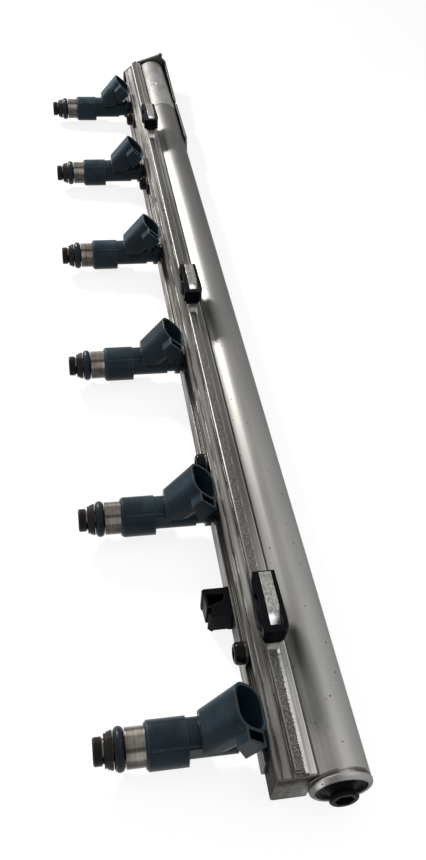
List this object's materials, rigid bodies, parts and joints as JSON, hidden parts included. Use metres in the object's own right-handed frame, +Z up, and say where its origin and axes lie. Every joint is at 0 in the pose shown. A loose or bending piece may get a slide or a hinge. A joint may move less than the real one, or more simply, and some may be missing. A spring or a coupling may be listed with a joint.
{
  "type": "fuel rail with injectors",
  "caption": "Extruded aluminium fuel rail for an inline engine, with its injectors, plastic clips, folded end bracket and push-in end plug.",
  "frame": {"origin": "on the flat underside of the block, in the middle of its thickness and half-way along the row of injectors", "axes": "+X runs along the rail towards the end with the push-in plug, +Y from the injector nozzles towards the fuel tube, +Z up, out of the flat underside"},
  "size_m": [0.5706, 0.0875, 0.0348],
  "materials": {
    "rail_aluminium": "extruded and milled, scuffed and dusty",
    "cap_aluminium": "dull drawn",
    "bracket_sheet": "dull sheet",
    "strip_aluminium": "bright sheet, dirty in the corners",
    "black_plastic": "satin moulded",
    "screw_black": "black oxide, oily shine",
    "injector_plastic": "moulded, semi-matte, dark blue-grey",
    "injector_steel": "brushed, a little stained",
    "tip_plastic": "moulded",
    "spacer_plastic": "moulded, brown and black",
    "seal_rubber": "smooth",
    "terminal_brass": "tinned",
    "filter_plastic": "moulded mesh, drawn as a basket"
  },
  "bodies": {
    "root": {"rail_extrusion": "rail_aluminium", "tube_end_cap": "cap_aluminium", "far_end_bracket": "bracket_sheet", "near_end_plug": "black_plastic", "near_plug_seal": "seal_rubber", "retainer_strip": "strip_aluminium", "retainer_screws": "screw_black", "snap_fastener": "black_plastic", "cover_clip_1": "black_plastic", "cover_clip_2": "black_plastic", "cover_clip_3": "black_plastic", "injector_1_body": "injector_plastic", "injector_1_shell": "injector_steel", "injector_1_nozzle_cap": "tip_plastic", "injector_1_washers": "spacer_plastic", "injector_1_lower_seal": "seal_rubber", "injector_1_upper_seal": "seal_rubber", "injector_1_terminals": "terminal_brass", "injector_1_filter": "filter_plastic", "injector_2_body": "injector_plastic", "injector_2_shell": "injector_steel", "injector_2_nozzle_cap": "tip_plastic", "injector_2_washers": "spacer_plastic", "injector_2_lower_seal": "seal_rubber", "injector_2_upper_seal": "seal_rubber", "injector_2_terminals": "terminal_brass", "injector_2_filter": "filter_plastic", "injector_3_body": "injector_plastic", "injector_3_shell": "injector_steel", "injector_3_nozzle_cap": "tip_plastic", "injector_3_washers": "spacer_plastic", "injector_3_lower_seal": "seal_rubber", "injector_3_upper_seal": "seal_rubber", "injector_3_terminals": "terminal_brass", "injector_3_filter": "filter_plastic", "injector_4_body": "injector_plastic", "injector_4_shell": "injector_steel", "injector_4_nozzle_cap": "tip_plastic", "injector_4_washers": "spacer_plastic", "injector_4_lower_seal": "seal_rubber", "injector_4_upper_seal": "seal_rubber", "injector_4_terminals": "terminal_brass", "injector_4_filter": "filter_plastic", "injector_5_body": "injector_plastic", "injector_5_shell": "injector_steel", "injector_5_nozzle_cap": "tip_plastic", "injector_5_washers": "spacer_plastic", "injector_5_lower_seal": "seal_rubber", "injector_5_upper_seal": "seal_rubber", "injector_5_terminals": "terminal_brass", "injector_5_filter": "filter_plastic", "injector_6_body": "injector_plastic", "injector_6_shell": "injector_steel", "injector_6_nozzle_cap": "tip_plastic", "injector_6_washers": "spacer_plastic", "injector_6_lower_seal": "seal_rubber", "injector_6_upper_seal": "seal_rubber", "injector_6_terminals": "terminal_brass", "injector_6_filter": "filter_plastic"}
  },
  "joints": []
}
